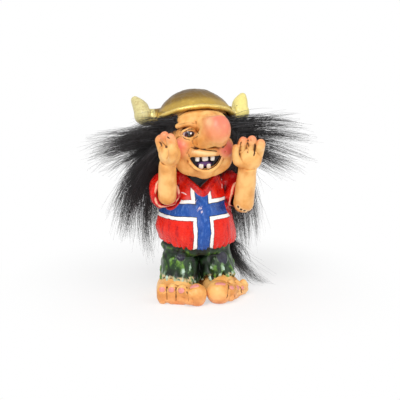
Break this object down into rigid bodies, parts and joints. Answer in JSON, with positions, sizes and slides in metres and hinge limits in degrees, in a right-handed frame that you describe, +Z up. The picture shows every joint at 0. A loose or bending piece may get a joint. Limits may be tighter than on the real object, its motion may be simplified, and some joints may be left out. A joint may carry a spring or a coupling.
{
  "type": "norwegian troll figure",
  "caption": "Standing painted cast troll figure in a horned helmet, frayed flag-cross shirt and torn trousers, with a long nose, bushy fur hair and a tufted tail; a shelf ornament.",
  "frame": {"origin": "on the ground, at the middle of the figure's outline seen from above", "axes": "+Z up, +X towards the figure's own left, and the figure faces -Y"},
  "size_m": [0.1274, 0.0774, 0.1175],
  "materials": {
    "skin": "hand-painted tan resin with dark wash and pink blush, glossy varnish",
    "shirt": "hand-painted red resin with a blue and white cross, glossy varnish",
    "trousers": "dark green painted resin, dry-brushed lighter green",
    "helmet": "old-gold painted resin with brown wash",
    "horn": "cream painted resin with brown wash",
    "eye": "painted eye under clear varnish",
    "tooth": "ivory painted resin",
    "hair": "long black fur",
    "dowel": "plain turned dowel"
  },
  "bodies": {
    "root": {"right_foot": "skin", "left_foot": "skin", "ankle_dowels": "dowel", "trousers": "trousers", "waist_dowel": "dowel", "shirt": "shirt", "neck_dowel": "dowel", "right_forearm": "skin", "left_forearm": "skin", "elbow_dowels": "dowel", "head": "skin", "right_eye": "eye", "left_eye": "eye", "upper_teeth": "tooth", "lower_teeth": "tooth", "helmet": "helmet", "right_horn": "horn", "left_horn": "horn", "horn_dowels": "dowel", "right_upper_hair": "hair", "right_lower_hair": "hair", "left_upper_hair": "hair", "left_lower_hair": "hair", "back_hair": "hair", "tail": "skin", "tail_tuft": "hair"}
  },
  "joints": []
}
